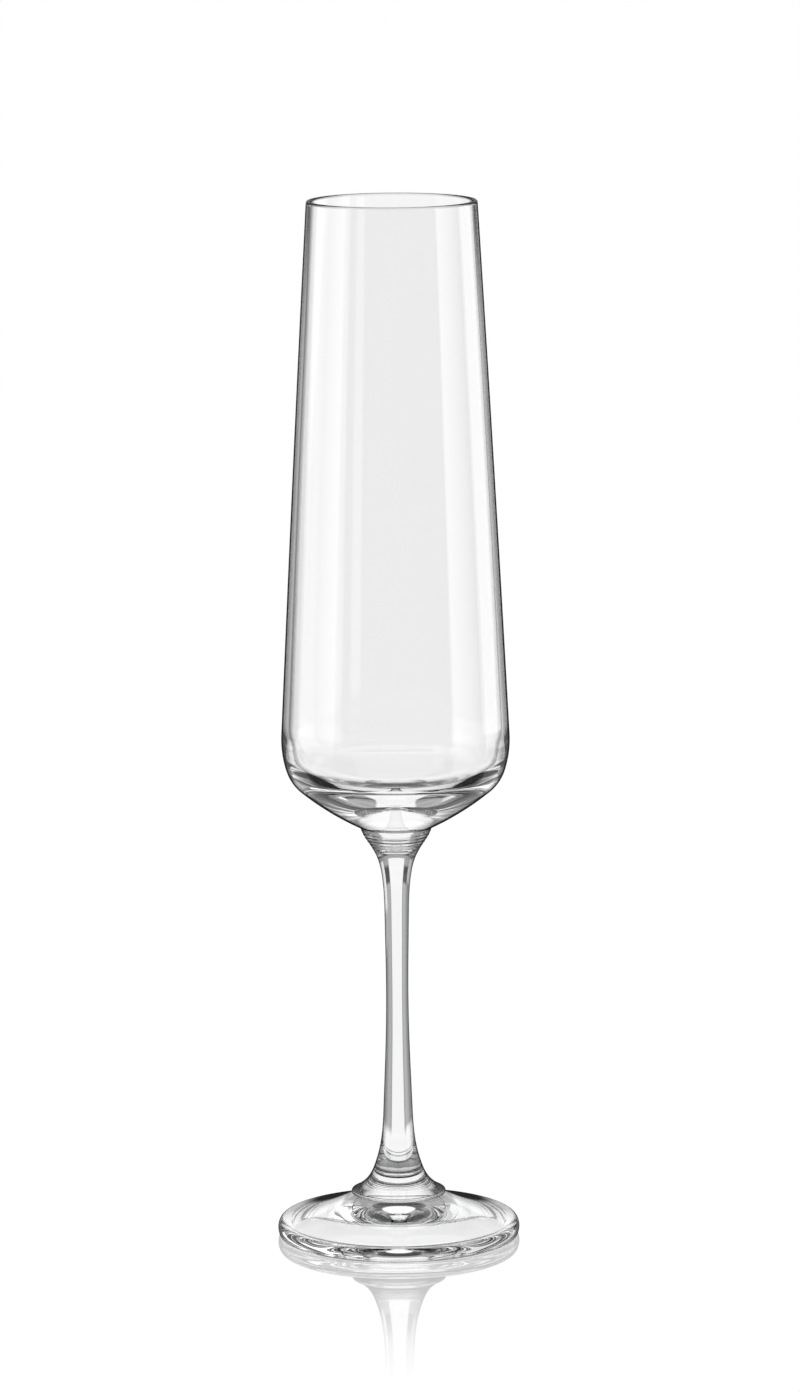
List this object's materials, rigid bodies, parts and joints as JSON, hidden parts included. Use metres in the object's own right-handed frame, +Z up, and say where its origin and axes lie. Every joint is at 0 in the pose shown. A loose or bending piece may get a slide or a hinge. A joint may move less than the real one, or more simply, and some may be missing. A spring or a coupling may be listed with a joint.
{
  "type": "champagne flute",
  "caption": "Tall clear-glass flute: tapered bowl with a rounded rim and heavy bottom, drawn stem flared at both ends, round foot with a thick lip and a hollow underside.",
  "frame": {"origin": "centre of the foot's contact plane, on the table", "axes": "+Z up along the axis of the stem, towards the rim; X and Y are equivalent because the glass is round"},
  "size_m": [0.0606, 0.0606, 0.26],
  "materials": {
    "bowl_glass": "clear fire-polished glass, smooth thin wall and heavy bottom",
    "stem_glass": "clear drawn glass with fine tooling rings under the bowl",
    "foot_glass": "clear pressed glass, fire-polished lip"
  },
  "bodies": {
    "root": {"bowl": "bowl_glass", "stem": "stem_glass", "foot": "foot_glass"}
  },
  "joints": []
}
